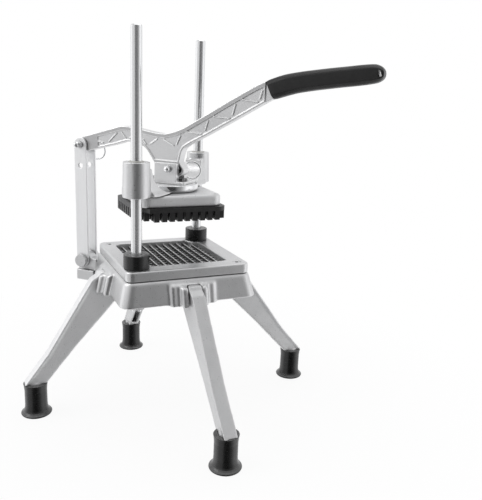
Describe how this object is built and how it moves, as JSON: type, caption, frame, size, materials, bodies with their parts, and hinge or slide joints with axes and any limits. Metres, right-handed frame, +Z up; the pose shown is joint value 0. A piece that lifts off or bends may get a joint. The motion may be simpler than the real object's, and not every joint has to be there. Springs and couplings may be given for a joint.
{
  "type": "vegetable dicer",
  "caption": "Hand-lever vegetable dicer: a pinned pusher slides down guide rods and drives food through a square blade grid on four splayed legs.",
  "frame": {"origin": "on the bench plane under the feet, on the vertical cutting axis", "axes": "+Z up, +X towards the operator's grip, the guide rods on the Y axis"},
  "size_m": [0.3956, 0.292, 0.466],
  "materials": {
    "cast_aluminium": "shot-blasted satin",
    "lever_aluminium": "tumbled satin",
    "plate_steel": "fine brushed",
    "rod_steel": "ground and polished",
    "blade_steel": "ground",
    "bright_steel": "polished",
    "zinc_steel": "zinc plated",
    "black_rubber": "moulded",
    "black_nylon": "moulded",
    "bush_plastic": "machined",
    "black_vinyl": "dipped satin"
  },
  "bodies": {
    "base": {"base_casting": "cast_aluminium", "leg_front_left": "cast_aluminium", "leg_front_right": "cast_aluminium", "leg_rear_left": "cast_aluminium", "leg_rear_right": "cast_aluminium", "foot_front_left": "black_rubber", "foot_front_right": "black_rubber", "foot_rear_left": "black_rubber", "foot_rear_right": "black_rubber", "leg_bolts": "zinc_steel", "guide_rod_left": "rod_steel", "guide_rod_right": "rod_steel", "rod_nuts": "zinc_steel", "bumper_left": "black_rubber", "bumper_right": "black_rubber", "blade_frame": "cast_aluminium", "lower_blades": "blade_steel", "upper_blades": "blade_steel", "blade_frame_screws": "zinc_steel", "rear_bracket": "cast_aluminium", "bracket_bolt": "zinc_steel", "link_bolt": "zinc_steel", "link_nut": "zinc_steel"},
    "carriage": {"carriage_casting": "cast_aluminium", "guide_bushes": "bush_plastic", "pusher_collar": "bright_steel", "clevis_block": "lever_aluminium", "clevis_screws": "zinc_steel", "pusher_plate": "cast_aluminium", "pusher_block": "black_nylon", "pusher_screws": "zinc_steel"},
    "link": {"link_plate_left": "plate_steel", "link_plate_right": "plate_steel"},
    "lever": {"lever": "lever_aluminium", "grip": "black_vinyl"},
    "link_pin": {"link_pin": "bright_steel"},
    "link_ring": {"link_ring": "bright_steel"},
    "head_pin": {"head_pin": "bright_steel"},
    "head_ring": {"head_ring": "bright_steel"}
  },
  "joints": [
    {"name": "carriage_slide", "type": "slide", "parent": "base", "child": "carriage", "axis": [0, 0, 1], "range_m": [-0.065, 0.036]},
    {"name": "link_swing", "type": "hinge", "parent": "base", "child": "link", "pos_m": [-0.1245, 0, 0.174], "axis": [0, 1, 0], "range_deg": [-3.8, 6.8]},
    {"name": "lever_swing", "type": "hinge", "parent": "link", "child": "lever", "pos_m": [-0.1245, 0, 0.3284], "axis": [0, 1, 0], "range_deg": [-12.1, 21.8]},
    {"name": "link_pin_pull", "type": "slide", "parent": "link", "child": "link_pin", "axis": [0, 1, 0], "range_m": [0, 0.04]},
    {"name": "link_ring_swing", "type": "hinge", "parent": "link_pin", "child": "link_ring", "pos_m": [-0.1245, 0.031, 0.3284], "axis": [0.9254, 0.3368, -0.1736], "range_deg": [-30, 60]},
    {"name": "head_pin_pull", "type": "slide", "parent": "carriage", "child": "head_pin", "axis": [0, 1, 0], "range_m": [0, 0.011]},
    {"name": "head_ring_swing", "type": "hinge", "parent": "head_pin", "child": "head_ring", "pos_m": [0.005, 0.031, 0.3076], "axis": [0.4698, 0.171, 0.866], "range_deg": [-38, 26]}
  ],
  "couplings": [
    {"joint": "link_swing", "follows": "carriage_slide", "rad_per_m": -1.782},
    {"joint": "lever_swing", "follows": "carriage_slide", "rad_per_m": -5.7767}
  ]
}
